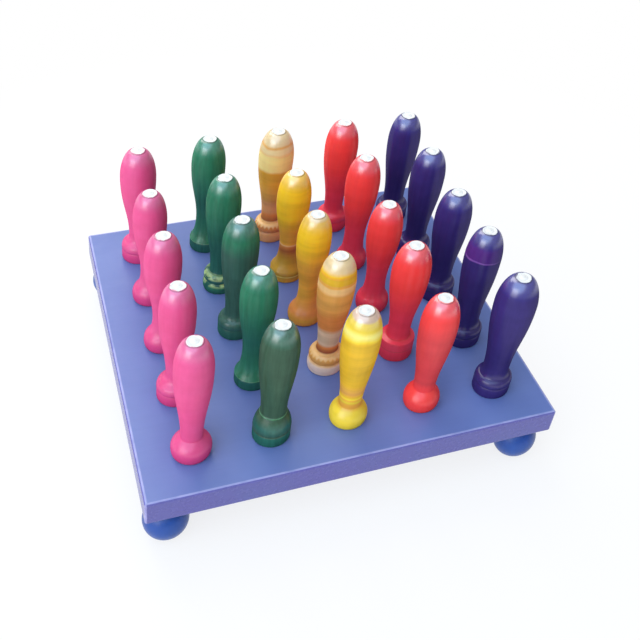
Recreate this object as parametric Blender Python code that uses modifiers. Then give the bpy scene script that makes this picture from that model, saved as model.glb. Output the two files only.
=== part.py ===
"""Pegboard toy: a painted board on four ball feet, with five colours of turned pegs that lift out.

Metres, +Z up. The feet stand on Z = 0, the board is centred on the Z axis and its front faces -Y.
"""

import math
from collections import namedtuple

import bmesh
import bpy
from mathutils import Matrix, Vector
from mathutils.geometry import interpolate_bezier

# Peg grid
COLUMN_PITCH = 0.050
ROW_PITCH = 0.050
EDGE_MARGIN = 0.0335  # axis of an outer peg to the board's edge

# Board
BOARD_THICKNESS = 0.018
BOARD_ARRIS = 0.0015  # rounding of the board's edges
PEG_HOLE_FLOOR = 0.004  # wood left under a blind peg hole
FOOT_HOLE_FLOOR = 0.007  # wood left over a blind foot hole

# Fits
SEAT_GAP = 0.0003  # between a shoulder and the face it rests on
HOLE_CLEARANCE = 0.0003  # around a tenon in its hole
HOLE_END_CLEARANCE = 0.001  # beyond the end of a tenon
TENON_CHAMFER = 0.001

# Turned pegs
PEG_HEIGHT = 0.090  # seat to end face, before a peg's own difference
PEG_END_RADIUS = 0.005  # flat end where the peg was parted from the lathe
HEAD_RADIUS = 0.0122  # widest part of the head, before a peg's own difference
HEAD_DROP = 0.021  # end face to the widest part of the head
NECK_RADIUS = 0.0074  # before a peg's own difference
BASE_RADIUS = 0.0122  # before a colour's own difference
BASE_HEIGHT = 0.0145  # seat to the top of a plain base moulding
PEG_TENON_RADIUS = 0.006
HEIGHT_STEP = 0.001  # the heights of the pegs differ by whole steps
RADIUS_STEP = 0.0001  # and so do their radii
PEG_SIDES = 14

# Ball feet
FOOT_RADIUS = 0.0145
FOOT_SETBACK = 0.0005  # side of a ball to the side of the board
FOOT_NECK_RADIUS = 0.008
FOOT_NECK_LENGTH = 0.0035
FOOT_FLAT_RADIUS = 0.005  # flat that the foot stands on
FOOT_TENON_RADIUS = 0.005
FOOT_SIDES = 16

# Points on each curved stretch of a turned outline
DOME_SAMPLES = 3
TAPER_SAMPLES = 3
MOULDING_SAMPLES = 2
BALL_SAMPLES = 7

# One peg: the steps by which its height, its head and its neck differ, and the style of its base
Peg = namedtuple("Peg", "height_steps head_steps neck_steps style")

# One colour of pegs, listed from the back row to the front row
PegFamily = namedtuple("PegFamily", "color base_steps pegs")

PEG_FAMILIES = {
    "pink": PegFamily((0.80, 0.12, 0.32), 4, (
        Peg(0, 4, -4, "collar"),
        Peg(-2, -7, -8, "pear"),
        Peg(0, 0, -8, "pear"),
        Peg(0, -7, -7, "collar"),
        Peg(1, -4, -5, "ball"))),
    "green": PegFamily((0.03, 0.17, 0.11), -1, (
        Peg(2, 0, 3, "bell"),
        Peg(2, -1, 0, "beaded"),
        Peg(3, 1, 2, "collar"),
        Peg(1, -3, 4, "bell"),
        Peg(1, -3, 7, "ringed"))),
    "yellow": PegFamily((0.72, 0.42, 0.07), 0, (
        Peg(1, 6, 0, "beaded"),
        Peg(-2, -2, -4, "bell"),
        Peg(-2, -6, -8, "pear"),
        Peg(2, -1, -2, "beaded"),
        Peg(0, -3, -1, "ball"))),
    "red": PegFamily((0.72, 0.06, 0.07), -4, (
        Peg(1, 2, -3, "collar"),
        Peg(2, 1, 0, "pear"),
        Peg(-3, -3, -2, "pear"),
        Peg(0, 5, 2, "drum"),
        Peg(-2, -3, -4, "ball"))),
    "blue": PegFamily((0.04, 0.03, 0.14), 2, (
        Peg(0, 0, 5, "collar"),
        Peg(0, 3, 5, "collar"),
        Peg(-2, 4, 9, "collar"),
        Peg(2, 1, 11, "collar"),
        Peg(3, 12, 11, "collar"))),
}

# One base style: the height where the neck ends, the lip that a cove spreads to from there, or None where
# the neck runs straight into the moulding, and the cuts from there down to the seat. All are shares of the
# base radius and of the base height. A single point is a straight cut, and three points are a curve: two
# handles and an end.
Moulding = namedtuple("Moulding", "neck_height lip cuts")

MOULDINGS = {
    "ball": Moulding(1.00, None, (
        ((0.79, 0.84), (1.00, 0.66), (1.00, 0.42)),
        ((1.00, 0.22), (0.97, 0.09), (0.90, 0.00)))),
    "pear": Moulding(1.70, (0.80, 0.78), (
        ((0.90, 0.69), (0.99, 0.56), (0.99, 0.36)),
        ((0.99, 0.20), (0.97, 0.07), (0.90, 0.00)))),
    "bell": Moulding(1.85, (0.96, 0.62), (
        (0.99, 0.57),
        (0.95, 0.535),
        (0.99, 0.50),
        (0.99, 0.08),
        (0.95, 0.00))),
    "collar": Moulding(1.35, (0.78, 0.97), (
        ((0.92, 0.93), (1.00, 0.84), (1.00, 0.62)),
        (0.96, 0.55),
        (0.99, 0.50),
        (0.99, 0.08),
        (0.95, 0.00))),
    "ringed": Moulding(1.55, None, (
        (0.72, 1.50),
        (0.68, 1.43),
        ((0.82, 1.30), (1.00, 1.00), (1.00, 0.66)),
        (0.96, 0.57),
        (0.99, 0.52),
        (0.99, 0.08),
        (0.95, 0.00))),
    "beaded": Moulding(1.25, (0.66, 1.02), (
        ((0.84, 1.04), (0.98, 0.92), (0.96, 0.70)),
        (0.88, 0.56),
        ((1.02, 0.52), (1.03, 0.16), (0.94, 0.00)))),
    "drum": Moulding(1.50, (0.70, 1.10), (
        (0.97, 1.03),
        (1.00, 0.96),
        (1.00, 0.08),
        (0.96, 0.00))),
}

# Shares that shape the peg's long curves
DOME_CROWN = 0.55  # how far the dome stays flat around the end face
DOME_FALL = 0.07  # slope of the dome at the end face
DOME_SHOULDER = 0.48  # where the dome's side turns upright
HEAD_FULLNESS = 0.45  # how far the head's width is carried down
NECK_FULLNESS = 0.38  # how far the neck's width is carried up
COVE_DEPTH = 0.5  # how far the neck runs straight into the cove
COVE_LIP = 0.35  # how far the cove spreads before it meets the moulding

BOARD_COLOR = (0.12, 0.16, 0.50)
FOOT_COLOR = (0.04, 0.12, 0.42)
PAINT_ROUGHNESS = 0.45
LACQUER_ROUGHNESS = 0.18

COLUMNS = len(PEG_FAMILIES)
ROWS = len(PEG_FAMILIES["pink"].pegs)

BOARD_WIDTH = (COLUMNS - 1) * COLUMN_PITCH + 2 * EDGE_MARGIN
BOARD_DEPTH = (ROWS - 1) * ROW_PITCH + 2 * EDGE_MARGIN

FOOT_BALL_TOP = math.sqrt(FOOT_RADIUS**2 - FOOT_NECK_RADIUS**2)  # ball centre up to the neck
FOOT_BALL_BOTTOM = math.sqrt(FOOT_RADIUS**2 - FOOT_FLAT_RADIUS**2)  # ball centre down to the flat
FOOT_HEIGHT = FOOT_NECK_LENGTH + FOOT_BALL_TOP + FOOT_BALL_BOTTOM
FOOT_INSET = FOOT_RADIUS + FOOT_SETBACK

BOARD_UNDERSIDE = FOOT_HEIGHT + SEAT_GAP
BOARD_TOP = BOARD_UNDERSIDE + BOARD_THICKNESS
PEG_SEAT = BOARD_TOP + SEAT_GAP

PEG_HOLE_DEPTH = BOARD_THICKNESS - PEG_HOLE_FLOOR
FOOT_HOLE_DEPTH = BOARD_THICKNESS - FOOT_HOLE_FLOOR
PEG_TENON_LENGTH = PEG_HOLE_DEPTH - HOLE_END_CLEARANCE + SEAT_GAP
FOOT_TENON_LENGTH = FOOT_HOLE_DEPTH - HOLE_END_CLEARANCE + SEAT_GAP

MERGE_DISTANCE = 0.00001
CUTTER_OVERRUN = 0.002  # how far a cutter stands out of the face it cuts


def clear_scene():
    for obj in list(bpy.data.objects):
        bpy.data.objects.remove(obj)


def new_collection(name):
    collection = bpy.data.collections.new(name)
    bpy.context.scene.collection.children.link(collection)
    return collection


def new_material(name, color, roughness):
    material = bpy.data.materials.new(name)
    material.use_nodes = True
    shader = material.node_tree.nodes["Principled BSDF"]
    shader.inputs["Base Color"].default_value = (*color, 1.0)
    shader.inputs["Roughness"].default_value = roughness
    shader.inputs["Metallic"].default_value = 0.0
    return material


def add_object(name, mesh, collection, material=None, parent=None, location=(0.0, 0.0, 0.0)):
    obj = bpy.data.objects.new(name, mesh)
    collection.objects.link(obj)
    if material:
        mesh.materials.append(material)
    obj.parent = parent
    obj.location = location
    return obj


def turned_object(name, outline, sides, collection, material, parent, location):
    """Turn an outline of (radius, height) points, listed from top to bottom, about its own Z axis."""
    mesh = bpy.data.meshes.new(name)
    vertices = [(radius, 0.0, height) for radius, height in outline]
    edges = [(i, i + 1) for i in range(len(vertices) - 1)]
    mesh.from_pydata(vertices, edges, [])
    obj = add_object(name, mesh, collection, material, parent, location)
    screw = obj.modifiers.new("Turn", "SCREW")
    screw.axis = "Z"
    screw.steps = sides
    screw.render_steps = sides
    screw.use_merge_vertices = True
    screw.merge_threshold = MERGE_DISTANCE
    return obj


def add_curve(outline, first_handle, second_handle, end, samples):
    """Carry an outline on from its last point along a Bezier curve."""
    start = Vector(outline[-1])
    curve = interpolate_bezier(start, Vector(first_handle), Vector(second_handle), Vector(end), samples + 1)
    outline.extend((point.x, point.y) for point in curve[1:])


def tenon_outline(radius, length):
    """Outline of a tenon that hangs below its shoulder at height 0, from the shoulder to the axis."""
    return [
        (radius, 0.0),
        (radius, TENON_CHAMFER - length),
        (radius - TENON_CHAMFER, -length),
        (0.0, -length),
    ]


def add_head(outline, head, neck, height, neck_height):
    """Dome from the end face to the head, then the long taper from the head to the neck."""
    head_height = height - HEAD_DROP
    crown = PEG_END_RADIUS + DOME_CROWN * (head - PEG_END_RADIUS)
    add_curve(
        outline,
        (crown, height - DOME_FALL * HEAD_DROP),
        (head, head_height + DOME_SHOULDER * HEAD_DROP),
        (head, head_height),
        DOME_SAMPLES)
    taper = head_height - neck_height
    add_curve(
        outline,
        (head, head_height - HEAD_FULLNESS * taper),
        (neck, neck_height + NECK_FULLNESS * taper),
        (neck, neck_height),
        TAPER_SAMPLES)


def add_cove(outline, neck, neck_height, lip, lip_height):
    """Hollow from the neck out to the lip of a base moulding."""
    cove = neck_height - lip_height
    add_curve(
        outline,
        (neck, neck_height - COVE_DEPTH * cove),
        (neck + COVE_LIP * (lip - neck), lip_height + COVE_LIP * cove / 2),
        (lip, lip_height),
        MOULDING_SAMPLES)


def add_cuts(outline, cuts, base):
    """Base moulding down to the seat."""
    for cut in cuts:
        if isinstance(cut[0], tuple):
            points = [(share * base, height * BASE_HEIGHT) for share, height in cut]
            add_curve(outline, *points, MOULDING_SAMPLES)
        else:
            outline.append((cut[0] * base, cut[1] * BASE_HEIGHT))


def peg_outline(family, peg):
    height = PEG_HEIGHT + peg.height_steps * HEIGHT_STEP
    head = HEAD_RADIUS + peg.head_steps * RADIUS_STEP
    neck = NECK_RADIUS + peg.neck_steps * RADIUS_STEP
    base = BASE_RADIUS + family.base_steps * RADIUS_STEP
    moulding = MOULDINGS[peg.style]
    neck_height = moulding.neck_height * BASE_HEIGHT
    outline = [(0.0, height), (PEG_END_RADIUS, height)]
    add_head(outline, head, neck, height, neck_height)
    if moulding.lip:
        add_cove(outline, neck, neck_height, moulding.lip[0] * base, moulding.lip[1] * BASE_HEIGHT)
    add_cuts(outline, moulding.cuts, base)
    return outline + tenon_outline(PEG_TENON_RADIUS, PEG_TENON_LENGTH)


def foot_outline():
    """Tenon, neck and ball, with heights from the neck's shoulder under the board."""
    hanging_tenon = tenon_outline(FOOT_TENON_RADIUS, FOOT_TENON_LENGTH)
    tenon = [(radius, -height) for radius, height in reversed(hanging_tenon)]
    ball_center = -FOOT_NECK_LENGTH - FOOT_BALL_TOP
    neck_angle = math.asin(FOOT_NECK_RADIUS / FOOT_RADIUS)
    flat_angle = math.pi - math.asin(FOOT_FLAT_RADIUS / FOOT_RADIUS)
    outline = tenon + [(FOOT_NECK_RADIUS, 0.0)]
    for i in range(BALL_SAMPLES + 1):
        angle = neck_angle + (flat_angle - neck_angle) * i / BALL_SAMPLES
        outline.append((FOOT_RADIUS * math.sin(angle), ball_center + FOOT_RADIUS * math.cos(angle)))
    outline.append((0.0, -FOOT_HEIGHT))
    return outline


def peg_places():
    """Family, row and place on the board of every peg, by column from the left and row from the back."""
    for column, name in enumerate(PEG_FAMILIES):
        for row in range(ROWS):
            x = (column - (COLUMNS - 1) / 2) * COLUMN_PITCH
            y = ((ROWS - 1) / 2 - row) * ROW_PITCH
            yield name, row, x, y


def foot_places():
    """Name and place under the board of every foot."""
    x = BOARD_WIDTH / 2 - FOOT_INSET
    y = BOARD_DEPTH / 2 - FOOT_INSET
    yield "foot_front_left", -x, -y
    yield "foot_front_right", x, -y
    yield "foot_back_left", -x, y
    yield "foot_back_right", x, y


def add_drill(bm, x, y, bottom, top, radius, sides):
    """Upright drill with its corners in line with those of the turned tenon that goes in its hole."""
    place = Matrix.Translation((x, y, (bottom + top) / 2))
    from_y_to_x = Matrix.Rotation(-math.pi / 2, 4, "Z")
    bmesh.ops.create_cone(
        bm, cap_ends=True, segments=sides, radius1=radius, radius2=radius, depth=top - bottom,
        matrix=place @ from_y_to_x)


def make_drills(collection):
    """One cutter that holds every peg hole and foot hole, in the board's own frame."""
    bm = bmesh.new()
    half = BOARD_THICKNESS / 2
    for _, _, x, y in peg_places():
        radius = PEG_TENON_RADIUS + HOLE_CLEARANCE
        add_drill(bm, x, y, half - PEG_HOLE_DEPTH, half + CUTTER_OVERRUN, radius, PEG_SIDES)
    for _, x, y in foot_places():
        radius = FOOT_TENON_RADIUS + HOLE_CLEARANCE
        add_drill(bm, x, y, -half - CUTTER_OVERRUN, FOOT_HOLE_DEPTH - half, radius, FOOT_SIDES)
    mesh = bpy.data.meshes.new("board_drills")
    bm.to_mesh(mesh)
    bm.free()
    drills = add_object("board_drills", mesh, collection)
    drills.hide_render = True
    drills.display_type = "WIRE"
    return drills


def make_board(parts, cutters):
    bm = bmesh.new()
    cube = bmesh.ops.create_cube(bm, size=1.0)
    bmesh.ops.scale(bm, verts=cube["verts"], vec=(BOARD_WIDTH, BOARD_DEPTH, BOARD_THICKNESS))
    mesh = bpy.data.meshes.new("board")
    bm.to_mesh(mesh)
    bm.free()
    place = (0.0, 0.0, (BOARD_UNDERSIDE + BOARD_TOP) / 2)
    paint = new_material("board_paint", BOARD_COLOR, PAINT_ROUGHNESS)
    board = add_object("board", mesh, parts, paint, location=place)
    arris = board.modifiers.new("Arris", "BEVEL")
    arris.width = BOARD_ARRIS
    arris.segments = 2
    drills = make_drills(cutters)
    drills.location = place
    holes = board.modifiers.new("Holes", "BOOLEAN")
    holes.operation = "DIFFERENCE"
    holes.object = drills


def make_feet(parts):
    paint = new_material("foot_paint", FOOT_COLOR, PAINT_ROUGHNESS)
    for name, x, y in foot_places():
        turned_object(name, foot_outline(), FOOT_SIDES, parts, paint, None, (x, y, FOOT_HEIGHT))


def make_pegs(parts):
    grid = bpy.data.objects.new("peg_grid", None)
    grid.location = (0.0, 0.0, PEG_SEAT)
    parts.objects.link(grid)
    lacquers = {
        name: new_material(f"{name}_lacquer", family.color, LACQUER_ROUGHNESS)
        for name, family in PEG_FAMILIES.items()
    }
    for name, row, x, y in peg_places():
        family = PEG_FAMILIES[name]
        outline = peg_outline(family, family.pegs[row])
        turned_object(f"peg_{name}_{row + 1}", outline, PEG_SIDES, parts, lacquers[name], grid, (x, y, 0.0))


def main():
    clear_scene()
    parts = new_collection("pegboard")
    cutters = new_collection("cutters")
    make_board(parts, cutters)
    make_feet(parts)
    make_pegs(parts)


main()
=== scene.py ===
"""Looks of the toy pegboard: turned and lacquered pegs, a painted board and ball feet, in soft daylight.

Metres, +Z up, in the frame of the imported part. Colours are written as sRGB values from 0 to 255.
"""

import math
import random
from collections import namedtuple

import bmesh
import bpy
from mathutils import Matrix, Vector
from mathutils.geometry import interpolate_bezier


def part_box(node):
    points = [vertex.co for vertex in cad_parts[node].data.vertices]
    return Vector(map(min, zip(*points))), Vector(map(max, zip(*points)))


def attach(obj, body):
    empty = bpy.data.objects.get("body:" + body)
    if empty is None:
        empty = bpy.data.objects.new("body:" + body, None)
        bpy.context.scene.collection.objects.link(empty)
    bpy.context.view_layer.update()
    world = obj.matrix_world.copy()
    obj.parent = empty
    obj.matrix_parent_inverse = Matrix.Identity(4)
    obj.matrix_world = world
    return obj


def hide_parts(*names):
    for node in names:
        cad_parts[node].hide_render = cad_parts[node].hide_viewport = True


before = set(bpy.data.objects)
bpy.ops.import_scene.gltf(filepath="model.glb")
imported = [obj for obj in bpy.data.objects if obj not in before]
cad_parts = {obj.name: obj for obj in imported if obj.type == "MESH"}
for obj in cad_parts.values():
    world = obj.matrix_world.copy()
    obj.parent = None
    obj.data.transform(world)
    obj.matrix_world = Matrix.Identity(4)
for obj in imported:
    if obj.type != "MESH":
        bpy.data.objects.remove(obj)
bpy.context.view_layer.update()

# Fits, as in the part
SEAT_GAP = 0.0003  # between a shoulder and the face it rests on
HOLE_CLEARANCE = 0.0003  # around a tenon in its hole
PEG_HOLE_FLOOR = 0.004  # wood left under a blind peg hole
FOOT_HOLE_FLOOR = 0.007  # wood left over a blind foot hole
TENON_CHAMFER = 0.001
HOLE_COUNTERSINK = 0.0005  # eased rim of a drilled hole
SHARP_ANGLE = 32  # degrees between faces that meet in a crisp edge

# Board
BOARD_ARRIS = 0.0015
ARRIS_SEGMENTS = 6
TOP_UPRIGHTNESS = 0.85  # faces whose normals rise more than this have the paint of the top
WEAR_AND_HIGHLIGHT_RIM = 0.0006  # paint on the top inside its arris, pale from wear and painted highlight
WEAR_AND_HIGHLIGHT_TOP_ARRIS = 0.2  # share of a top arris's height that is pale from wear and painted highlight
WEAR_AND_HIGHLIGHT_UPRIGHT_ARRIS = 0.9  # share of an upright arris's width that is pale from wear and painted highlight

# Turned pegs
PEG_END_RADIUS = 0.005
END_LIP = 0.00035  # step from the bare end down to the lacquer
END_EASE = 0.0002  # rounding of the bare end's rim
END_RING_RADIUS = 0.0029  # turning mark on the bare end
END_RING_DEPTH = 0.00006
NIB_RADIUS = 0.0008  # pip left at the middle of the bare end
NIB_RISE = 0.0002
HEAD_DROP = 0.021
BASE_HEIGHT = 0.0145
PEG_TENON_RADIUS = 0.006
PEG_SIDES = 64
DOME_SAMPLES = 18
TAPER_SAMPLES = 26
MOULDING_SAMPLES = 8

# Shares that shape the peg's long curves, as in the part
DOME_CROWN = 0.55
DOME_FALL = 0.07
DOME_SHOULDER = 0.48
HEAD_FULLNESS = 0.45
NECK_FULLNESS = 0.38
COVE_DEPTH = 0.5
COVE_LIP = 0.35

# Long shallow flutes that the grain leaves on a peg's shaft
FLUTE_COUNTS = (7, 11, 16)
FLUTE_BOTTOM = 0.030
FLUTE_TOP = 0.082
FLUTE_SEED = 5

# Ball feet
FOOT_NODES = [f"foot_{end}_{side}" for end in ("front", "back") for side in ("left", "right")]
FOOT_NECK_RADIUS = 0.008
FOOT_FLAT_RADIUS = 0.005
FOOT_TENON_RADIUS = 0.005
FOOT_SIDES = 64
BALL_SAMPLES = 40

# One base style, as in the part: the height where the neck ends, the lip of the cove or None, and the cuts
# down to the seat, as shares of the base radius and of the base height. A single point is a straight cut,
# and three points are a curve: two handles and an end.
Moulding = namedtuple("Moulding", "neck_height lip cuts")

MOULDINGS = {
    "ball": Moulding(1.00, None, (
        ((0.79, 0.84), (1.00, 0.66), (1.00, 0.42)),
        ((1.00, 0.22), (0.97, 0.09), (0.90, 0.00)))),
    "pear": Moulding(1.70, (0.80, 0.78), (
        ((0.90, 0.69), (0.99, 0.56), (0.99, 0.36)),
        ((0.99, 0.20), (0.97, 0.07), (0.90, 0.00)))),
    "bell": Moulding(1.85, (0.96, 0.62), (
        (0.99, 0.57),
        (0.95, 0.535),
        (0.99, 0.50),
        (0.99, 0.08),
        (0.95, 0.00))),
    "collar": Moulding(1.35, (0.78, 0.97), (
        ((0.92, 0.93), (1.00, 0.84), (1.00, 0.62)),
        (0.96, 0.55),
        (0.99, 0.50),
        (0.99, 0.08),
        (0.95, 0.00))),
    "ringed": Moulding(1.55, None, (
        (0.72, 1.50),
        (0.68, 1.43),
        ((0.82, 1.30), (1.00, 1.00), (1.00, 0.66)),
        (0.96, 0.57),
        (0.99, 0.52),
        (0.99, 0.08),
        (0.95, 0.00))),
    "beaded": Moulding(1.25, (0.66, 1.02), (
        ((0.84, 1.04), (0.98, 0.92), (0.96, 0.70)),
        (0.88, 0.56),
        ((1.02, 0.52), (1.03, 0.16), (0.94, 0.00)))),
    "drum": Moulding(1.50, (0.70, 1.10), (
        (0.97, 1.03),
        (1.00, 0.96),
        (1.00, 0.08),
        (0.96, 0.00))),
}


def srgb(red, green, blue):
    """Linear colour of an sRGB colour written from 0 to 255."""
    shares = [value / 255 for value in (red, green, blue)]
    linear = [s / 12.92 if s <= 0.04045 else ((s + 0.055) / 1.055) ** 2.4 for s in shares]
    return (*linear, 1.0)


# Lacquers
PINK = srgb(228, 84, 133)
DEEP_PINK = srgb(220, 66, 120)
GREEN = srgb(50, 121, 87)
DEEP_GREEN = srgb(41, 100, 83)
GREY_GREEN = srgb(58, 98, 81)
OLIVE_GREEN = srgb(60, 88, 66)
LIME = srgb(172, 203, 130)
PALE_GREEN = srgb(110, 176, 124)
LEMON = srgb(252, 213, 60)
PALE_LEMON = srgb(255, 233, 124)
GOLD = srgb(255, 195, 38)
OCHRE = srgb(244, 169, 58)
AMBER = srgb(232, 177, 44)
STRAW = srgb(255, 217, 132)
OLIVE_GOLD = srgb(201, 151, 48)
TAN = srgb(238, 165, 79)
BROWN = srgb(232, 139, 67)
CHESTNUT = srgb(177, 100, 50)
RUSSET = srgb(158, 76, 46)
BEIGE = srgb(234, 194, 154)
PALE_ROSE = srgb(255, 220, 196)
ROSE_BROWN = srgb(240, 164, 100)
CREAM = srgb(243, 206, 146)
PEACH = srgb(250, 196, 124)
RED = srgb(253, 67, 63)
CRIMSON = srgb(246, 62, 81)
CORAL = srgb(217, 67, 68)
NAVY = srgb(56, 43, 106)
DEEP_NAVY = srgb(47, 36, 95)
PURPLE = srgb(84, 44, 120)
PALE_PURPLE = srgb(144, 92, 174)

# Painted highlight: pale colours mixed into the lacquer around a peg's bare end, where the highlight falls
# on the head
PINK_CROWN_HIGHLIGHT = srgb(238, 148, 190)
GREEN_CROWN_HIGHLIGHT = srgb(96, 186, 160)
RED_CROWN_HIGHLIGHT = srgb(244, 116, 150)
BLUE_CROWN_HIGHLIGHT = srgb(80, 96, 214)

# Other finishes
BARE_WOOD = srgb(222, 184, 160)
END_WOOD = srgb(246, 241, 230)
END_WOOD_RING = srgb(222, 220, 214)
TENON_WOOD = srgb(226, 196, 150)
TENON_GRAIN = srgb(190, 148, 98)
BOARD_BLUE = srgb(107, 127, 182)
BOARD_BLUE_DEEP = srgb(101, 119, 177)
EDGE_VIOLET = srgb(99, 90, 161)
EDGE_VIOLET_DEEP = srgb(96, 98, 161)
# Pale paint along the board's arrises: partly wear, partly a painted highlight
WEAR_AND_HIGHLIGHT_BLUE = srgb(212, 206, 242)
FOOT_BLUE = srgb(29, 82, 157)
FOOT_BLUE_DEEP = srgb(29, 66, 145)
FLOOR_WHITE = srgb(252, 249, 244)

# One noise texture: the stretch of a piece's own frame, and the noise's scale, detail and distortion
Noise = namedtuple("Noise", "stretch scale detail distortion", defaults=(0.0,))

EVEN = (1.0, 1.0, 1.0)
FLAT = (1.0, 1.0, 0.0)
MOST_NOISE = (0.3, 0.7)  # range that holds most values of a noise
SEED_SPREAD = 40.0  # how far apart the noises of two pieces lie
RELIEF_RISE = 0.0002  # rise of a fine relief at full strength

# Lacquer on the pegs: where it changes, as heights over a peg's seat or depths below its top
DRIFT_HEIGHTS = (0.018, 0.050)  # from straight bands to uneven ones
DRIFT_REACH = 0.0045
RIGHT_SIDE = (-0.005, 0.009)  # from a peg's own bands to its right bands
BEAD_RISE = (0.60 * BASE_HEIGHT, 0.72 * BASE_HEIGHT)  # lower edge of a base's upper bead
BEAD_FALL = (0.96 * BASE_HEIGHT, 1.04 * BASE_HEIGHT)
SCALLOP_COUNT = 22  # around a base
BLOT_FALL = (BASE_HEIGHT, 1.2 * BASE_HEIGHT)  # from blots to none
CROWN_HIGHLIGHT_DEPTHS = (0.0105, 0.0035)  # from the band's own colour to the fullest painted highlight
CROWN_HIGHLIGHT_SHARE = 0.18  # how pale the painted highlight makes the lacquer around a peg's bare end
PAINTED_RIM_SHADE_DEPTHS = (0.0008, 0.0004)  # from plain lacquer to the painted shade line at the step around a bare end
# Painted shade: how dark the lacquer gets in the line at the step around a bare end
PAINTED_RIM_SHADE = 0.5
HEAD_GLOSS_DEPTHS = (0.0085, 0.0040)  # from the shaft's gloss to the head's
BASE_GLOSS_RISE = (0.0065, 0.0090)  # from a base's dull foot to its glossy bead
BASE_GLOSS_FALL = (0.015, 0.020)  # from the base's gloss to the shaft's
BASE_GLOSS = 0.26
SHAFT_GLOSS = 0.11  # lacquer on a shaft, dulled by handling
LACQUER_ROUGHNESS = (0.20, 0.32)
COAT_ROUGHNESS = 0.27
COAT_IOR = 2.5

# Lacquer on the pegs: its textures
BAND_DRIFT = Noise(EVEN, 70.0, 2.0)
BLOTS = Noise((1.0, 1.0, 1.6), 220.0, 1.0)
BLOT_EDGE = (0.44, 0.58)
GRAIN_STREAKS = Noise((1.0, 1.0, 0.05), 420.0, 4.0, 0.3)
MARBLING = Noise((0.15, 0.15, 1.0), 170.0, 2.0)
MARBLING_RANGE = (0.35, 0.65)
LACQUER_CLOUDS = Noise(EVEN, 110.0, 3.0)
LACQUER_CLOUD_EDGE = (0.35, 0.75)
LACQUER_CLOUD_SHARE = 0.16
LACQUER_WEAR = Noise(EVEN, 260.0, 4.0)
ORANGE_PEEL = Noise(EVEN, 700.0, 2.0)
ORANGE_PEEL_RELIEF = 0.02
GRAIN_LINES = Noise((1.0, 1.0, 0.04), 400.0, 3.0)
GRAIN_LINE_RELIEF = 0.1  # for a grain of strength 1
GRAIN_LINE_RISE = 0.0003

# Bare ends and tenons
END_RINGS = (("Scale", 190.0), ("Distortion", 5.0), ("Detail", 2.0), ("Detail Scale", 2.0))
END_RING_SHARE = 0.35
END_PORES = Noise(FLAT, 1400.0, 4.0)
END_PORE_EDGE = (0.55, 0.75)
END_PORE_SHARE = 0.5
END_RELIEF = 0.25
END_ROUGHNESS = 0.6
END_SPECULAR = 0.2
CREEP = Noise(FLAT, 240.0, 2.0)
CREEP_REACH = 0.0030  # how unevenly lacquer has crept over the rim of a bare end
CREEP_EDGE = (PEG_END_RADIUS - 0.0004, PEG_END_RADIUS - 0.0001)
CREEP_SHARE = 0.75
TENON_LINES = Noise((1.0, 1.0, 0.06), 520.0, 5.0, 0.6)
TENON_LINE_EDGE = (0.35, 0.7)
TENON_RELIEF = 0.3
TENON_ROUGHNESS = 0.65

# Paint on the board and the feet
BOARD_ROUGHNESS = 0.34
EDGE_ROUGHNESS = 0.20
FOOT_ROUGHNESS = 0.28
ROUGHNESS_SPREAD = 0.12
PAINT_CLOUDS = Noise(EVEN, 22.0, 4.0)
BRUSH_STROKES = Noise((0.05, 1.0, 1.0), 420.0, 4.0, 0.2)
BRUSH_STROKE_SHADES = (0.985, 1.015)
BRUSH_STROKE_RELIEF = 0.04
PAINT_WEAR = Noise(EVEN, 300.0, 4.0)
PAINT_GRAIN = Noise(EVEN, 900.0, 2.0)
PAINT_GRAIN_RELIEF = 0.05
WEAR_AND_HIGHLIGHT_PATCHES = Noise(EVEN, 90.0, 5.0)
WEAR_AND_HIGHLIGHT_PATCH_EDGE = (0.15, 0.55)
WEAR_AND_HIGHLIGHT_SHARE = 0.45  # how pale the paint gets along an arris, from wear and painted highlight

# A peg's colour bands are (height in millimetres over the seat, colour), from the seat up
PINK_BANDS = ((0, DEEP_PINK), (20, PINK), (90, PINK))
# The thin pale green line at the base's groove is partly wear, partly a painted highlight on its edge
GREEN_BANDS = (
    (0, DEEP_GREEN), (7.6, DEEP_GREEN), (8.1, PALE_GREEN), (8.6, GREEN), (40, DEEP_GREEN), (70, GREEN),
    (92, GREEN))
LIME_BANDS = (
    (0, DEEP_GREEN), (5.0, GREEN), (7.0, LIME), (8.4, LIME), (9.2, DEEP_GREEN), (11.0, DEEP_GREEN),
    (12.2, LIME), (14.0, LIME), (15.2, DEEP_GREEN), (40, DEEP_GREEN), (70, GREEN), (92, GREEN))
GREY_GREEN_BANDS = ((0, DEEP_GREEN), (20, GREY_GREEN), (70, GREY_GREEN), (82, GREEN), (92, GREY_GREEN))
# The thin pale green line on the bead over the base is partly wear, partly a painted highlight on it
OLIVE_GREEN_BANDS = (
    (0, DEEP_GREEN), (7.6, DEEP_GREEN), (8.1, OLIVE_GREEN), (14, DEEP_GREEN), (19, OLIVE_GREEN),
    (20.6, OLIVE_GREEN), (21.4, PALE_GREEN), (22.2, OLIVE_GREEN), (92, OLIVE_GREEN))
CREAM_TAN_BANDS = (
    (0, ROSE_BROWN), (8.5, ROSE_BROWN), (10, BROWN), (12.6, BROWN), (13.8, PEACH), (16, PEACH),
    (17, CHESTNUT), (22, BROWN), (25, ROSE_BROWN), (33, ROSE_BROWN), (37, TAN), (52, OCHRE), (62, OCHRE),
    (64, STRAW), (75.5, STRAW), (76.8, PEACH), (78.3, CREAM), (81, CREAM), (82.5, TAN), (84, CREAM),
    (92, CREAM))
RINGED_GOLD_BANDS = (
    (0, OCHRE), (4.4, OLIVE_GOLD), (4.9, PALE_LEMON), (5.6, OLIVE_GOLD), (17, OLIVE_GOLD), (25, CHESTNUT),
    (29, BROWN), (30, PEACH), (31, OCHRE), (42, OCHRE), (56, GOLD), (88, GOLD))
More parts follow.
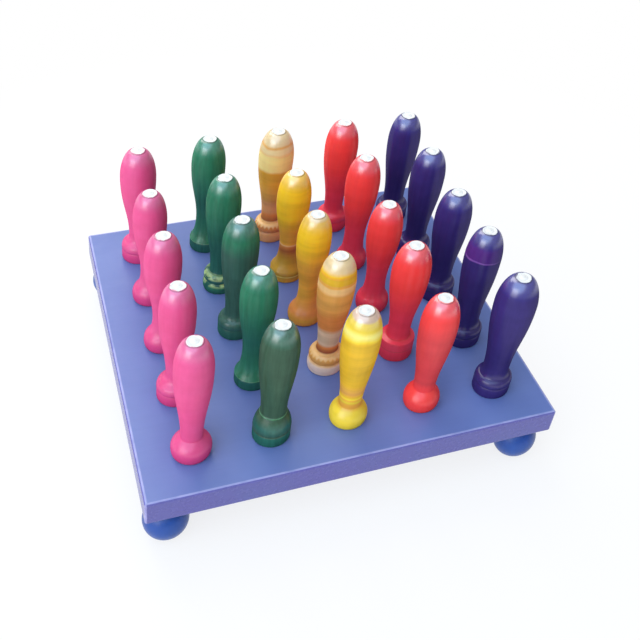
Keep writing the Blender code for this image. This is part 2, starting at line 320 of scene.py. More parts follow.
# The thin cream ring under the bare end is partly a bare pale edge, partly a painted highlight
GOLD_BANDS = (
    (0, BROWN), (5, OCHRE), (10, BROWN), (24, OCHRE), (50, OCHRE), (68, GOLD), (86, GOLD), (87.2, CREAM),
    (88, CREAM))
BANDED_TAN_BANDS = (
    (0, PALE_ROSE), (6.5, PALE_ROSE), (8.0, PEACH), (9.0, TAN), (12.5, TAN), (13.8, PEACH), (15.6, PEACH),
    (16.6, RUSSET), (21, BROWN), (23, BEIGE), (34, BEIGE), (38, BROWN), (48, BROWN), (56, TAN), (68, TAN),
    (71, PEACH), (74, PEACH), (75.2, OCHRE), (76, TAN), (77, AMBER), (80.4, AMBER), (81, OCHRE),
    (82.5, GOLD), (85, CREAM), (92, CREAM))
LEMON_BANDS = (
    (0, LEMON), (13, LEMON), (15, OCHRE), (18, OCHRE), (20, LEMON), (22, OCHRE), (23, LEMON), (25, AMBER),
    (28, TAN), (36, AMBER), (48, AMBER), (72, AMBER), (74, LEMON), (77, PALE_LEMON), (78, PALE_LEMON),
    (81, LEMON), (86, LEMON), (87.2, BARE_WOOD), (90, BARE_WOOD))
RED_BANDS = ((0, CRIMSON), (30, CRIMSON), (60, RED), (90, RED))
# The thin coral lines on the base are partly wear, partly painted highlight, the upper one on the rim
LINED_RED_BANDS = (
    (0, CRIMSON), (8.2, CRIMSON), (8.7, CORAL), (9.2, CRIMSON), (15.6, CRIMSON), (16.1, CORAL),
    (16.6, CRIMSON), (36, CRIMSON), (62, RED), (90, RED))
CORAL_BANDS = ((0, RED), (16, RED), (22, CORAL), (62, CORAL), (80, RED), (90, RED))
NAVY_BANDS = ((0, NAVY), (30, DEEP_NAVY), (60, NAVY), (92, NAVY))
PURPLE_BANDS = (
    (0, DEEP_NAVY), (60, NAVY), (72.4, NAVY), (73.2, PALE_PURPLE), (74.2, PURPLE), (82, PURPLE),
    (85, NAVY), (92, NAVY))

# One peg: its radii at the head and the neck, its base style, its bands and, if it has them, its bands on
# the right, the depth of the scallops along the bands of its base and the colour of the blots on its base
Peg = namedtuple(
    "Peg", "head_radius neck_radius style bands right_bands scallops blots", defaults=(None, 0.0, None))

# One colour of pegs from the back row to the front row, with the depth of their flutes, the strength of the
# streaks along their grain and of the marbling around it, and the gloss and the painted highlight of their
# heads
PegFamily = namedtuple("PegFamily", "base_radius flute_depth grain marbling gloss crown pegs")

PEG_FAMILIES = {
    "pink": PegFamily(
        base_radius=0.0126, flute_depth=0.00002, grain=0.04, marbling=0.02, gloss=0.60, crown=PINK_CROWN_HIGHLIGHT,
        pegs=(
            Peg(0.0126, 0.0070, "collar", PINK_BANDS),
            Peg(0.0115, 0.0066, "pear", PINK_BANDS),
            Peg(0.0122, 0.0066, "pear", PINK_BANDS),
            Peg(0.0115, 0.0067, "collar", PINK_BANDS),
            Peg(0.0118, 0.0069, "ball", PINK_BANDS))),
    "green": PegFamily(
        base_radius=0.0121, flute_depth=0.00014, grain=0.20, marbling=0.03, gloss=0.72, crown=GREEN_CROWN_HIGHLIGHT,
        pegs=(
            Peg(0.0122, 0.0077, "bell", GREEN_BANDS),
            Peg(0.0121, 0.0074, "beaded", LIME_BANDS, blots=DEEP_GREEN),
            Peg(0.0123, 0.0076, "collar", GREY_GREEN_BANDS),
            Peg(0.0119, 0.0078, "bell", GREEN_BANDS),
            Peg(0.0119, 0.0081, "ringed", OLIVE_GREEN_BANDS))),
    "yellow": PegFamily(
        base_radius=0.0122, flute_depth=0.00002, grain=0.05, marbling=0.11, gloss=0.92, crown=CREAM,
        pegs=(
            Peg(0.0128, 0.0074, "beaded", CREAM_TAN_BANDS, scallops=0.0009),
            Peg(0.0120, 0.0070, "bell", RINGED_GOLD_BANDS),
            Peg(0.0116, 0.0066, "pear", GOLD_BANDS),
            Peg(0.0121, 0.0072, "beaded", BANDED_TAN_BANDS, scallops=0.0007),
            Peg(0.0119, 0.0073, "ball", LEMON_BANDS))),
    "red": PegFamily(
        base_radius=0.0118, flute_depth=0.00002, grain=0.05, marbling=0.03, gloss=0.95, crown=RED_CROWN_HIGHLIGHT,
        pegs=(
            Peg(0.0124, 0.0071, "collar", RED_BANDS),
            Peg(0.0123, 0.0074, "pear", RED_BANDS),
            Peg(0.0119, 0.0072, "pear", RED_BANDS),
            Peg(0.0127, 0.0076, "drum", LINED_RED_BANDS),
            Peg(0.0119, 0.0070, "ball", CORAL_BANDS))),
    "blue": PegFamily(
        base_radius=0.0124, flute_depth=0.00003, grain=0.10, marbling=0.03, gloss=0.85, crown=BLUE_CROWN_HIGHLIGHT,
        pegs=(
            Peg(0.0122, 0.0079, "collar", NAVY_BANDS),
            Peg(0.0125, 0.0079, "collar", NAVY_BANDS),
            Peg(0.0126, 0.0083, "collar", NAVY_BANDS),
            Peg(0.0123, 0.0085, "collar", PURPLE_BANDS, NAVY_BANDS),
            Peg(0.0134, 0.0085, "collar", NAVY_BANDS))),
}
TALLEST_PEG = 0.1  # height that the colour bands are spread over

# Camera, as it stood for the photograph
CAMERA_PLACE = (-0.1872, -0.4926, 0.5129)
CAMERA_AZIMUTH = 22.06  # degrees that it looks right of straight ahead
CAMERA_TILT = 41.59  # degrees that it looks down
CAMERA_ROLL = 4.39
CAMERA_LENS = 56.01  # millimetres
SENSOR_WIDTH = 36.0  # millimetres
CAMERA_LEAN = -0.0690  # sideways lean of the photograph itself

# Light
SKY_STRENGTH = 2.3  # world at the bright patch of sky
CEILING_STRENGTH = 0.35  # world overhead beside the patch
WALL_STRENGTH = 0.25  # world around the horizon
SKY_WAY = (-0.470, -0.329, 0.819)  # way to the middle of the patch
SKY_EDGE = (0.66, 0.85)  # cosines of the angles over which the patch fades
WALL_EDGE = (0.15, 0.35)  # heights over which the walls turn to ceiling
HORIZON_EDGE = (0.02, 0.12)  # heights over which the white of the horizon fades
SKYLIGHT = (0.55, 0.74, 1.0)
DAYLIGHT = (1.0, 0.98, 0.96)
WINDOW_PLACE = (-1.25, -0.80, 0.55)
WINDOW_SIZE = (1.1, 0.9)
WINDOW_POWER = 7.0
BACK_PANEL_PLACE = (-0.25, 0.85, 0.95)
BACK_PANEL_SIZE = (0.8, 1.1)
BACK_PANEL_POWER = 8.5
FLOOR_RADIUS = 8.0
FLOOR_SIDES = 96
FLOOR_ROUGHNESS = 0.9
FLOOR_NEAR = 0.20  # the floor turns to plain white from here
FLOOR_FAR = 0.50
FLOOR_LIFT = 0.8  # share of plain white in the floor near the object


# Node helpers

def add_node(tree, kind, inputs=(), **settings):
    """Add a node, with values or links for its inputs as (name or number, value) pairs."""
    node = tree.nodes.new(kind)
    for name, value in settings.items():
        setattr(node, name, value)
    for name, value in inputs:
        if isinstance(value, bpy.types.NodeSocket):
            tree.links.new(value, node.inputs[name])
        else:
            node.inputs[name].default_value = value
    return node


def math_node(tree, operation, first, second=0.0):
    return add_node(tree, "ShaderNodeMath", ((0, first), (1, second)), operation=operation).outputs[0]


def mix_colors(tree, factor, first, second, blend="MIX"):
    inputs = ((0, factor), (6, first), (7, second))
    return add_node(tree, "ShaderNodeMix", inputs, data_type="RGBA", blend_type=blend).outputs[2]


def map_range(tree, value, low, high, to_low=0.0, to_high=1.0):
    inputs = ((0, value), (1, low), (2, high), (3, to_low), (4, to_high))
    return add_node(tree, "ShaderNodeMapRange", inputs).outputs[0]


def color_ramp(tree, factor, stops):
    """Colour ramp over (place, colour) stops."""
    node = add_node(tree, "ShaderNodeValToRGB", ((0, factor),))
    elements = node.color_ramp.elements
    while len(elements) < len(stops):
        elements.new(1.0)
    for element, (place, color) in zip(elements, stops):
        element.position = place
        element.color = color
    return node.outputs[0]


def object_point(tree, stretch=EVEN):
    """Place on the piece in its own frame, stretched along its axes."""
    coordinates = add_node(tree, "ShaderNodeTexCoord").outputs["Object"]
    return add_node(tree, "ShaderNodeMapping", (("Vector", coordinates), ("Scale", stretch))).outputs[0]


def vector_length(tree, point):
    return add_node(tree, "ShaderNodeVectorMath", ((0, point),), operation="LENGTH").outputs["Value"]


def noise(tree, texture):
    """Noise from 0 to 1 that differs from piece to piece."""
    random_share = add_node(tree, "ShaderNodeObjectInfo").outputs["Random"]
    inputs = (
        ("Vector", object_point(tree, texture.stretch)),
        ("W", math_node(tree, "MULTIPLY", random_share, SEED_SPREAD)),
        ("Scale", texture.scale),
        ("Detail", texture.detail),
        ("Distortion", texture.distortion),
    )
    return add_node(tree, "ShaderNodeTexNoise", inputs, noise_dimensions="4D").outputs[0]


def uneven(tree, value, texture, reach):
    """A value that a noise shifts up and down by up to half a reach."""
    shift = math_node(tree, "SUBTRACT", noise(tree, texture), 0.5)
    return math_node(tree, "ADD", value, math_node(tree, "MULTIPLY", shift, reach))


def shaded(tree, color, shade):
    """A colour multiplied by a grey shade."""
    grey = add_node(tree, "ShaderNodeCombineColor", ((0, shade), (1, shade), (2, shade))).outputs[0]
    return mix_colors(tree, 1.0, color, grey, "MULTIPLY")


def bump(tree, height, strength, rise=RELIEF_RISE, normal=None):
    inputs = [("Height", height), ("Strength", strength), ("Distance", rise)]
    if normal:
        inputs.append(("Normal", normal))
    return add_node(tree, "ShaderNodeBump", inputs).outputs[0]


def new_material(name):
    """Material with its Principled shader and its node tree."""
    material = bpy.data.materials.new(name)
    material.use_nodes = True
    return material, material.node_tree, material.node_tree.nodes["Principled BSDF"]


# Finishes

def band_ramp(tree, height, bands):
    share = math_node(tree, "DIVIDE", height, TALLEST_PEG)
    return color_ramp(tree, share, [(at / 1000 / TALLEST_PEG, tone) for at, tone in bands])


def below(top, depths):
    """Heights that lie at those depths below a top."""
    return [top - depth for depth in depths]


def scalloped(tree, place, depth):
    """Shift along a peg's axis that cuts the bands of its base's upper bead into scallops."""
    height = place.outputs["Z"]
    on_bead = map_range(tree, height, *BEAD_FALL, map_range(tree, height, *BEAD_RISE), 0.0)
    angle = math_node(tree, "ARCTAN2", place.outputs["Y"], place.outputs["X"])
    wave = math_node(tree, "SINE", math_node(tree, "MULTIPLY", angle, SCALLOP_COUNT))
    return math_node(tree, "MULTIPLY", wave, math_node(tree, "MULTIPLY", on_bead, depth))


def lacquer_color(tree, place, peg, family, top):
    """Bands by height, uneven up the shaft and with a painted highlight at the crown, streaks along the
    grain, marbling around it, a painted shade line around the bare end and faint clouds."""
    height = place.outputs["Z"]
    reach = map_range(tree, height, *DRIFT_HEIGHTS, 0.0, DRIFT_REACH)
    drifted = uneven(tree, height, BAND_DRIFT, reach)
    if peg.scallops:
        drifted = math_node(tree, "ADD", drifted, scalloped(tree, place, peg.scallops))
    color = band_ramp(tree, drifted, peg.bands)
    if peg.right_bands:
        right = map_range(tree, place.outputs["X"], *RIGHT_SIDE)
        color = mix_colors(tree, right, color, band_ramp(tree, drifted, peg.right_bands))
    if peg.blots:
        blots = map_range(tree, noise(tree, BLOTS), *BLOT_EDGE)
        blots = math_node(tree, "MULTIPLY", blots, map_range(tree, height, *BLOT_FALL, 1.0, 0.0))
        color = mix_colors(tree, blots, color, peg.blots)
    # Painted highlight: the crown's pale colour stands in for the highlight on the head
    crown = map_range(tree, drifted, *below(top, CROWN_HIGHLIGHT_DEPTHS), 0.0, CROWN_HIGHLIGHT_SHARE)
    color = mix_colors(tree, crown, color, family.crown)

    streaks = noise(tree, GRAIN_STREAKS)
    streaks = map_range(tree, streaks, *MOST_NOISE, 1.0 - family.grain, 1.0 + family.grain / 2)
    marbling = noise(tree, MARBLING)
    marbling = map_range(tree, marbling, *MARBLING_RANGE, 1.0 - family.marbling, 1.0 + family.marbling)
    # Painted shade: a dark line on the lacquer at the step around the bare end
    rim = map_range(tree, height, *below(top, PAINTED_RIM_SHADE_DEPTHS), 1.0, PAINTED_RIM_SHADE)
    shade = math_node(tree, "MULTIPLY", math_node(tree, "MULTIPLY", streaks, marbling), rim)
    color = shaded(tree, color, shade)
    clouds = map_range(tree, noise(tree, LACQUER_CLOUDS), *LACQUER_CLOUD_EDGE, 0.0, LACQUER_CLOUD_SHARE)
    return mix_colors(tree, clouds, color, color, "SCREEN")


def lacquer(name, peg, family, top):
    """Glossy lacquer over turned wood up to a peg's top, with a faint orange peel, duller on the shaft than
    on the head and the base."""
    material, tree, shader = new_material(name)
    place = add_node(tree, "ShaderNodeSeparateXYZ", ((0, object_point(tree)),))
    height = place.outputs["Z"]
    tree.links.new(lacquer_color(tree, place, peg, family, top), shader.inputs["Base Color"])

    rough = map_range(tree, noise(tree, LACQUER_WEAR), *MOST_NOISE, *LACQUER_ROUGHNESS)
    tree.links.new(rough, shader.inputs["Roughness"])
    peel = bump(tree, noise(tree, ORANGE_PEEL), ORANGE_PEEL_RELIEF)
    grain_relief = GRAIN_LINE_RELIEF * family.grain
    relief = bump(tree, noise(tree, GRAIN_LINES), grain_relief, GRAIN_LINE_RISE, peel)
    tree.links.new(relief, shader.inputs["Normal"])
    shader.inputs["Specular IOR Level"].default_value = 0.0
    head_gloss = map_range(tree, height, *below(top, HEAD_GLOSS_DEPTHS), SHAFT_GLOSS, family.gloss)
    base_gloss = map_range(tree, height, *BASE_GLOSS_RISE, SHAFT_GLOSS, BASE_GLOSS)
    base_gloss = map_range(tree, height, *BASE_GLOSS_FALL, base_gloss, SHAFT_GLOSS)
    gloss = math_node(tree, "MAXIMUM", head_gloss, base_gloss)
    tree.links.new(gloss, shader.inputs["Coat Weight"])
    shader.inputs["Coat Roughness"].default_value = COAT_ROUGHNESS
    shader.inputs["Coat IOR"].default_value = COAT_IOR
    return material


def end_wood(name, rim_color):
    """Bare end grain where a peg was parted from the lathe, with faint rings and pores, and a ragged edge of
    lacquer that has crept over its rim."""
    material, tree, shader = new_material(name)
    point = object_point(tree, FLAT)
    rings = add_node(
        tree, "ShaderNodeTexWave", (("Vector", point), *END_RINGS), wave_type="RINGS", rings_direction="Z")
    pores = map_range(tree, noise(tree, END_PORES), *END_PORE_EDGE)
    marks = math_node(tree, "MULTIPLY", rings.outputs[0], END_RING_SHARE)
    marks = math_node(tree, "ADD", marks, math_node(tree, "MULTIPLY", pores, END_PORE_SHARE))
    color = mix_colors(tree, marks, END_WOOD, END_WOOD_RING)
    ragged = uneven(tree, vector_length(tree, point), CREEP, CREEP_REACH)
    creep = map_range(tree, ragged, *CREEP_EDGE, 0.0, CREEP_SHARE)
    tree.links.new(mix_colors(tree, creep, color, rim_color), shader.inputs["Base Color"])
    tree.links.new(bump(tree, marks, END_RELIEF), shader.inputs["Normal"])
    shader.inputs["Roughness"].default_value = END_ROUGHNESS
    shader.inputs["Specular IOR Level"].default_value = END_SPECULAR
    return material


def tenon_wood():
    """Bare long grain of a tenon."""
    material, tree, shader = new_material("tenon_wood")
    lines = noise(tree, TENON_LINES)
    share = map_range(tree, lines, *TENON_LINE_EDGE)
    tree.links.new(mix_colors(tree, share, TENON_WOOD, TENON_GRAIN), shader.inputs["Base Color"])
    tree.links.new(bump(tree, lines, TENON_RELIEF), shader.inputs["Normal"])
    shader.inputs["Roughness"].default_value = TENON_ROUGHNESS
    return material


def paint(name, color, deep_color, roughness):
    """Brushed satin paint over wood, thin and pale where its mask of wear and painted highlight says."""
    material, tree, shader = new_material(name)
    clouds = map_range(tree, noise(tree, PAINT_CLOUDS), *MOST_NOISE)
    base = mix_colors(tree, clouds, color, deep_color)
    strokes = noise(tree, BRUSH_STROKES)
    base = shaded(tree, base, map_range(tree, strokes, *MOST_NOISE, *BRUSH_STROKE_SHADES))
    wear_and_highlight = add_node(tree, "ShaderNodeAttribute", attribute_name="wear_and_highlight").outputs["Fac"]
    patches = map_range(tree, noise(tree, WEAR_AND_HIGHLIGHT_PATCHES), *WEAR_AND_HIGHLIGHT_PATCH_EDGE)
    wear_and_highlight = math_node(tree, "MULTIPLY", math_node(tree, "MULTIPLY", wear_and_highlight, patches), WEAR_AND_HIGHLIGHT_SHARE)
    # Wear and painted highlight: pale paint where the mask says, along the board's arrises
    base = mix_colors(tree, wear_and_highlight, base, WEAR_AND_HIGHLIGHT_BLUE)
    tree.links.new(base, shader.inputs["Base Color"])
    rough = map_range(tree, noise(tree, PAINT_WEAR), *MOST_NOISE, roughness, roughness + ROUGHNESS_SPREAD)
    tree.links.new(rough, shader.inputs["Roughness"])
    relief = bump(tree, strokes, BRUSH_STROKE_RELIEF)
    relief = bump(tree, noise(tree, PAINT_GRAIN), PAINT_GRAIN_RELIEF, normal=relief)
    tree.links.new(relief, shader.inputs["Normal"])
    return material


# Turned pieces

def around(sides):
    """Evenly spaced angles around a turned piece."""
    return [2 * math.pi * side / sides for side in range(sides)]


def add_curve(outline, first_handle, second_handle, end, samples):
    """Carry an outline on from its last point along a Bezier curve."""
    knots = [Vector(point) for point in (outline[-1], first_handle, second_handle, end)]
    curve = interpolate_bezier(*knots, samples + 1)
    outline.extend((point.x, point.y) for point in curve[1:])


def end_outline(height):
    """Bare end face from its pip to its rim."""
    ring_edge = 2 * END_RING_DEPTH
    return [
        (0.0, height + NIB_RISE),
        (NIB_RADIUS / 2, height + NIB_RISE),
        (NIB_RADIUS, height),
        (END_RING_RADIUS - ring_edge, height),
        (END_RING_RADIUS, height - END_RING_DEPTH),
        (END_RING_RADIUS + ring_edge, height),
        (PEG_END_RADIUS - END_EASE, height),
        (PEG_END_RADIUS, height - END_EASE),
    ]


def body_outline(peg, base, height):
    """Lacquered part of a peg, from the step at its bare end down to its seat."""
    head, neck = peg.head_radius, peg.neck_radius
    moulding = MOULDINGS[peg.style]
    outline = [(PEG_END_RADIUS, height - END_LIP)]
    head_height = height - HEAD_DROP
    crown = PEG_END_RADIUS + DOME_CROWN * (head - PEG_END_RADIUS)
    add_curve(
        outline,
        (crown, height - DOME_FALL * HEAD_DROP),
        (head, head_height + DOME_SHOULDER * HEAD_DROP),
        (head, head_height),
        DOME_SAMPLES)
    neck_height = moulding.neck_height * BASE_HEIGHT
    taper = head_height - neck_height
    add_curve(
        outline,
        (head, head_height - HEAD_FULLNESS * taper),
        (neck, neck_height + NECK_FULLNESS * taper),
        (neck, neck_height),
        TAPER_SAMPLES)
    if moulding.lip:
        lip, lip_height = moulding.lip[0] * base, moulding.lip[1] * BASE_HEIGHT
        cove = neck_height - lip_height
        add_curve(
            outline,
            (neck, neck_height - COVE_DEPTH * cove),
            (neck + COVE_LIP * (lip - neck), lip_height + COVE_LIP * cove / 2),
            (lip, lip_height),
            MOULDING_SAMPLES)
    for cut in moulding.cuts:
        if isinstance(cut[0], tuple):
            points = [(share * base, rise * BASE_HEIGHT) for share, rise in cut]
            add_curve(outline, *points, MOULDING_SAMPLES)
        else:
            outline.append((cut[0] * base, cut[1] * BASE_HEIGHT))
    return outline


def tenon_outline(radius, length):
    """Tenon that hangs below its shoulder at height 0, from the shoulder to the axis."""
    return [
        (radius, 0.0),
        (radius, TENON_CHAMFER - length),
        (radius - TENON_CHAMFER, -length),
        (0.0, -length),
    ]


def turned_mesh(name, stretches, sides, shape):
    """Closed mesh turned about Z from stretches of (radius, height) points, each with its own material slot.
    shape(radius, height, angle) gives the true radius of a point."""
    angles = around(sides)
    bm = bmesh.new()
    last_ring = None
    for slot, stretch in enumerate(stretches):
        for radius, height in stretch:
            if radius:
                radii = [shape(radius, height, angle) for angle in angles]
                ring = [
                    bm.verts.new((r * math.cos(a), r * math.sin(a), height)) for r, a in zip(radii, angles)]
            else:
                ring = [bm.verts.new((0.0, 0.0, height))] * sides
            if last_ring:
                for i in range(sides):
                    j = (i + 1) % sides
                    corners = dict.fromkeys((last_ring[i], ring[i], ring[j], last_ring[j]))
                    face = bm.faces.new(corners)
                    face.material_index = slot
                    face.smooth = True
            last_ring = ring
    mesh = bpy.data.meshes.new(name)
    bm.to_mesh(mesh)
    bm.free()
    mesh.set_sharp_from_angle(angle=math.radians(SHARP_ANGLE))
    return mesh


def add_piece(name, mesh, materials, place, node, body):
    """Show a piece in place of a CAD node, riding on that node's body."""
    piece = bpy.data.objects.new(name, mesh)
    bpy.context.scene.collection.objects.link(piece)
    for material in materials:
        mesh.materials.append(material)
    piece.location = place
    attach(piece, body)
    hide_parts(node)
    return piece


def node_axis(node):
    """Middle of a node's box in plan."""
    low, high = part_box(node)
    return (low.x + high.x) / 2, (low.y + high.y) / 2


def fluted(depth, rng):
    """Shape of a turned peg whose shaft has long shallow flutes of that depth."""
    phases = [rng.uniform(0, 2 * math.pi) for _ in FLUTE_COUNTS]

    def shape(radius, height, angle):
        up = (height - FLUTE_BOTTOM) / (FLUTE_TOP - FLUTE_BOTTOM)
        if not 0.0 < up < 1.0:
            return radius
        fade = math.sin(math.pi * up) ** 0.5
        waves = sum(math.cos(count * angle + phase) for count, phase in zip(FLUTE_COUNTS, phases))
        return radius + depth * fade * waves / len(FLUTE_COUNTS)

    return shape


def make_pegs(seat, tenon_material):
    rng = random.Random(FLUTE_SEED)
    for color, family in PEG_FAMILIES.items():
        for row, peg in enumerate(family.pegs):
            node = f"peg_{color}_{row + 1}"
            low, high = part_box(node)
            height = high.z - seat
            stretches = (
                end_outline(height),
                body_outline(peg, family.base_radius, height),
                tenon_outline(PEG_TENON_RADIUS, seat - low.z),
            )
            shape = fluted(family.flute_depth, rng)
            mesh = turned_mesh(f"{node}_turned", stretches, PEG_SIDES, shape)
            finish = lacquer(f"{node}_lacquer", peg, family, height)
            end_material = end_wood(f"{node}_end_wood", peg.bands[-1][1])
            materials = (end_material, finish, tenon_material)
            place = (*node_axis(node), seat)
            add_piece(f"{node}_turned", mesh, materials, place, node, node)


def foot_stretches(radius, height, tenon_length):
    """Tenon, neck and ball of a foot, with heights from the neck's shoulder under the board."""
    hanging = tenon_outline(FOOT_TENON_RADIUS, tenon_length)
    tenon = [(r, -h) for r, h in reversed(hanging)]
    neck_angle = math.asin(FOOT_NECK_RADIUS / radius)
    flat_angle = math.pi - math.asin(FOOT_FLAT_RADIUS / radius)
    center = -height - radius * math.cos(flat_angle)
    ball = [(FOOT_NECK_RADIUS, 0.0)]
    for i in range(BALL_SAMPLES + 1):
        angle = neck_angle + (flat_angle - neck_angle) * i / BALL_SAMPLES
        ball.append((radius * math.sin(angle), center + radius * math.cos(angle)))
    ball.append((0.0, -height))
    return tenon, ball


def make_feet(underside, tenon_material):
    finish = paint("foot_paint", FOOT_BLUE, FOOT_BLUE_DEEP, FOOT_ROUGHNESS)
    shoulder = underside - SEAT_GAP
    for node in FOOT_NODES:
        low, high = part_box(node)
        stretches = foot_stretches((high.x - low.x) / 2, shoulder - low.z, high.z - shoulder)
        mesh = turned_mesh(f"{node}_turned", stretches, FOOT_SIDES, lambda radius, height, angle: radius)
        place = (*node_axis(node), shoulder)
        add_piece(f"{node}_turned", mesh, (tenon_material, finish), place, node, "board")


# Board

def add_drill(bm, x, y, mouth, end, radius, sides):
    """Cutter for a blind hole with an eased rim, from beyond its mouth to its end."""
    out = 1 if mouth > end else -1
    profile = (
        (0.0, mouth + out * HOLE_COUNTERSINK),
        (radius + 2 * HOLE_COUNTERSINK, mouth + out * HOLE_COUNTERSINK),
        (radius, mouth - out * HOLE_COUNTERSINK),
        (radius, end),
        (0.0, end),
    )
    angles = around(sides)
    rings = []
    for r, z in profile:
        if r:
            rings.append([bm.verts.new((x + r * math.cos(a), y + r * math.sin(a), z)) for a in angles])
        else:
            rings.append([bm.verts.new((x, y, z))] * sides)
    for upper, lower in zip(rings, rings[1:]):
        for i in range(sides):
            j = (i + 1) % sides
            corners = [upper[i], lower[i], lower[j], upper[j]]
            bm.faces.new(dict.fromkeys(corners if out > 0 else reversed(corners)))


def make_drills(underside, top):
    bm = bmesh.new()
    peg_hole_radius = PEG_TENON_RADIUS + HOLE_CLEARANCE
    for color, family in PEG_FAMILIES.items():
        for row in range(len(family.pegs)):
            x, y = node_axis(f"peg_{color}_{row + 1}")
            add_drill(bm, x, y, top, underside + PEG_HOLE_FLOOR, peg_hole_radius, PEG_SIDES)
    foot_hole_radius = FOOT_TENON_RADIUS + HOLE_CLEARANCE
    for node in FOOT_NODES:
        x, y = node_axis(node)
        add_drill(bm, x, y, underside, top - FOOT_HOLE_FLOOR, foot_hole_radius, FOOT_SIDES)
    mesh = bpy.data.meshes.new("board_drills")
    bm.to_mesh(mesh)
    bm.free()
    drills = bpy.data.objects.new("board_drills", mesh)
    bpy.context.scene.collection.objects.link(drills)
    return drills


def mark_wear_and_highlight_arrises(mesh, half_width, half_depth, half_height):
    """Wear and painted highlight: 1 along the upright arrises and the upper part of the top ones, 0
    elsewhere.
    """
    values = []
    for vertex in mesh.vertices:
        near, far = sorted((half_width - abs(vertex.co.x), half_depth - abs(vertex.co.y)))
        upright = far < WEAR_AND_HIGHLIGHT_UPRIGHT_ARRIS * BOARD_ARRIS
        high = half_height - vertex.co.z < WEAR_AND_HIGHLIGHT_TOP_ARRIS * BOARD_ARRIS
        upper = high and near < BOARD_ARRIS + WEAR_AND_HIGHLIGHT_RIM / 2
        values.append(1.0 if upright or upper else 0.0)
    wear_and_highlight = mesh.attributes.new("wear_and_highlight", "FLOAT", "POINT")
    wear_and_highlight.data.foreach_set("value", values)


def make_board(low, high, hole_material):
    size = high - low
    middle = (low + high) / 2
    bm = bmesh.new()
    cube = bmesh.ops.create_cube(bm, size=1.0)
    bmesh.ops.scale(bm, verts=cube["verts"], vec=size)
    bmesh.ops.bevel(
        bm, geom=bm.edges[:], offset=BOARD_ARRIS, segments=ARRIS_SEGMENTS, profile=0.5, affect="EDGES")
    top_face = max(bm.faces, key=lambda face: face.calc_center_median().z)
    bmesh.ops.inset_region(bm, faces=[top_face], thickness=WEAR_AND_HIGHLIGHT_RIM, use_even_offset=True)
    for face in bm.faces:
        face.smooth = True
        face.material_index = 0 if abs(face.normal.z) > TOP_UPRIGHTNESS else 1
    mesh = bpy.data.meshes.new("board_slab")
    bm.to_mesh(mesh)
    bm.free()
    mark_wear_and_highlight_arrises(mesh, *(size / 2))
    materials = (
        paint("board_paint", BOARD_BLUE, BOARD_BLUE_DEEP, BOARD_ROUGHNESS),
        paint("board_edge_paint", EDGE_VIOLET, EDGE_VIOLET_DEEP, EDGE_ROUGHNESS),
    )
    board = add_piece("board_slab", mesh, materials, middle, "board", "board")

    drills = make_drills(low.z, high.z)
    drills.data.materials.append(hole_material)
    holes = board.modifiers.new("Holes", "BOOLEAN")
    holes.operation = "DIFFERENCE"
    holes.object = drills
    holes.material_mode = "TRANSFER"
    normals = board.modifiers.new("Flat faces", "WEIGHTED_NORMAL")
    normals.keep_sharp = True
    bpy.context.view_layer.update()
    evaluated = board.evaluated_get(bpy.context.evaluated_depsgraph_get())
    drilled = bpy.data.meshes.new_from_object(evaluated)
    board.modifiers.clear()
    board.data = drilled
    bpy.data.objects.remove(drills)


# Stage

def rays_that_see_background(tree):
    """1 for the rays that should find a white background: camera, glossy and transmission."""
    path = add_node(tree, "ShaderNodeLightPath")
    seen = math_node(tree, "MAXIMUM", path.outputs["Is Camera Ray"], path.outputs["Is Glossy Ray"])
    return math_node(tree, "MAXIMUM", seen, path.outputs["Is Transmission Ray"])


def make_floor():
    bm = bmesh.new()
    bmesh.ops.create_circle(bm, cap_ends=True, segments=FLOOR_SIDES, radius=FLOOR_RADIUS)
    mesh = bpy.data.meshes.new("floor")
    bm.to_mesh(mesh)
    bm.free()
    floor = bpy.data.objects.new("floor", mesh)
    bpy.context.scene.collection.objects.link(floor)

    material, tree, shader = new_material("floor")
    shader.inputs["Base Color"].default_value = FLOOR_WHITE
    shader.inputs["Roughness"].default_value = FLOOR_ROUGHNESS
    shader.inputs["Specular IOR Level"].default_value = 0.0
    distance = vector_length(tree, object_point(tree))
    lifted = map_range(tree, distance, FLOOR_NEAR, FLOOR_FAR, FLOOR_LIFT, 1.0)
    white = add_node(tree, "ShaderNodeEmission")
    share = math_node(tree, "MULTIPLY", rays_that_see_background(tree), lifted)
    inputs = ((0, share), (1, shader.outputs[0]), (2, white.outputs[0]))
    mixed = add_node(tree, "ShaderNodeMixShader", inputs)
    tree.links.new(mixed.outputs[0], tree.nodes["Material Output"].inputs["Surface"])
    mesh.materials.append(material)


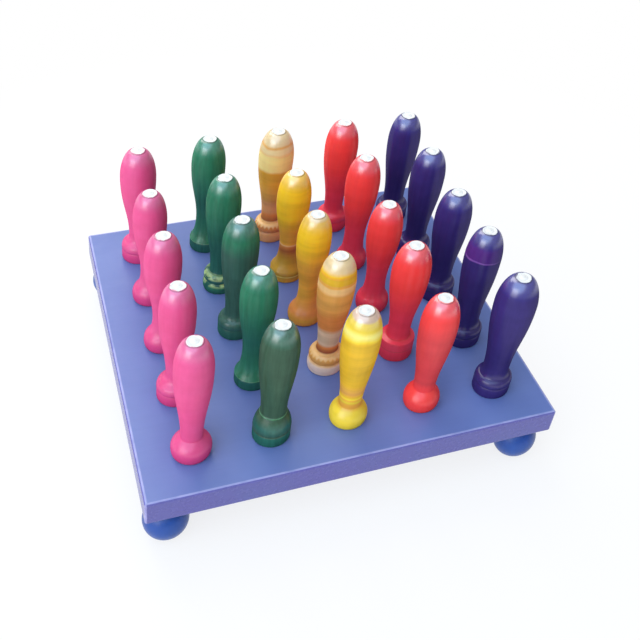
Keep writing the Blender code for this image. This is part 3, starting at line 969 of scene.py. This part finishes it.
def make_world():
    """Daylight from a bright patch of sky. The camera sees white, and mirrored rays find white around the
    horizon."""
    world = bpy.data.worlds.new("daylight")
    world.use_nodes = True
    bpy.context.scene.world = world
    tree = world.node_tree
    direction = add_node(tree, "ShaderNodeTexCoord").outputs["Generated"]
    up = add_node(tree, "ShaderNodeSeparateXYZ", ((0, direction),)).outputs["Z"]
    near = add_node(tree, "ShaderNodeVectorMath", ((0, direction), (1, SKY_WAY)), operation="DOT_PRODUCT")
    sky = map_range(tree, near.outputs["Value"], *SKY_EDGE)
    light = map_range(tree, up, *WALL_EDGE, WALL_STRENGTH, CEILING_STRENGTH)
    light = map_range(tree, sky, 0.0, 1.0, light, SKY_STRENGTH)
    low = map_range(tree, up, *HORIZON_EDGE, 1.0, 0.0)
    white = math_node(tree, "MULTIPLY", rays_that_see_background(tree), low)
    camera = add_node(tree, "ShaderNodeLightPath").outputs["Is Camera Ray"]
    white = math_node(tree, "MAXIMUM", white, camera)
    light = map_range(tree, white, 0.0, 1.0, light, 1.0)
    tree.links.new(light, tree.nodes["Background"].inputs["Strength"])
    color = mix_colors(tree, sky, (*DAYLIGHT, 1.0), (*SKYLIGHT, 1.0))
    color = mix_colors(tree, white, color, (1.0, 1.0, 1.0, 1.0))
    tree.links.new(color, tree.nodes["Background"].inputs["Color"])


def add_panel(name, place, target, size, power):
    """Soft rectangular light that faces a target."""
    light = bpy.data.lights.new(name, "AREA")
    light.shape = "RECTANGLE"
    light.size, light.size_y = size
    light.energy = power
    light.color = DAYLIGHT
    lamp = bpy.data.objects.new(name, light)
    lamp.location = place
    lamp.visible_camera = False
    lamp.rotation_euler = (Vector(target) - Vector(place)).to_track_quat("-Z", "Y").to_euler()
    bpy.context.scene.collection.objects.link(lamp)


def make_lights(top):
    middle = (0.0, 0.0, top)
    add_panel("window", WINDOW_PLACE, middle, WINDOW_SIZE, WINDOW_POWER)
    add_panel("back_panel", BACK_PANEL_PLACE, middle, BACK_PANEL_SIZE, BACK_PANEL_POWER)


def make_camera():
    """Camera on a holder that stands and points as the photograph's did. Only the lean is in the camera's
    own link to it."""
    holder = bpy.data.objects.new("camera_holder", None)
    pan = Matrix.Rotation(-math.radians(CAMERA_AZIMUTH), 4, "Z")
    tilt = Matrix.Rotation(math.radians(90 - CAMERA_TILT), 4, "X")
    roll = Matrix.Rotation(math.radians(CAMERA_ROLL), 4, "Z")
    holder.matrix_world = Matrix.Translation(CAMERA_PLACE) @ pan @ tilt @ roll
    data = bpy.data.cameras.new("camera")
    data.sensor_width = SENSOR_WIDTH
    data.sensor_fit = "HORIZONTAL"
    data.lens = CAMERA_LENS
    camera = bpy.data.objects.new("camera", data)
    for obj in (holder, camera):
        bpy.context.scene.collection.objects.link(obj)
    lean = Matrix.Identity(4)
    lean[0][1] = CAMERA_LEAN
    camera.parent = holder
    camera.matrix_parent_inverse = lean
    bpy.context.scene.camera = camera


def main():
    board_low, board_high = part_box("board")
    tenon_material = tenon_wood()
    make_board(board_low, board_high, tenon_material)
    make_feet(board_low.z, tenon_material)
    make_pegs(board_high.z + SEAT_GAP, tenon_material)
    make_floor()
    make_world()
    make_lights(board_high.z)
    make_camera()
    bpy.context.scene.view_settings.view_transform = "Standard"


main()
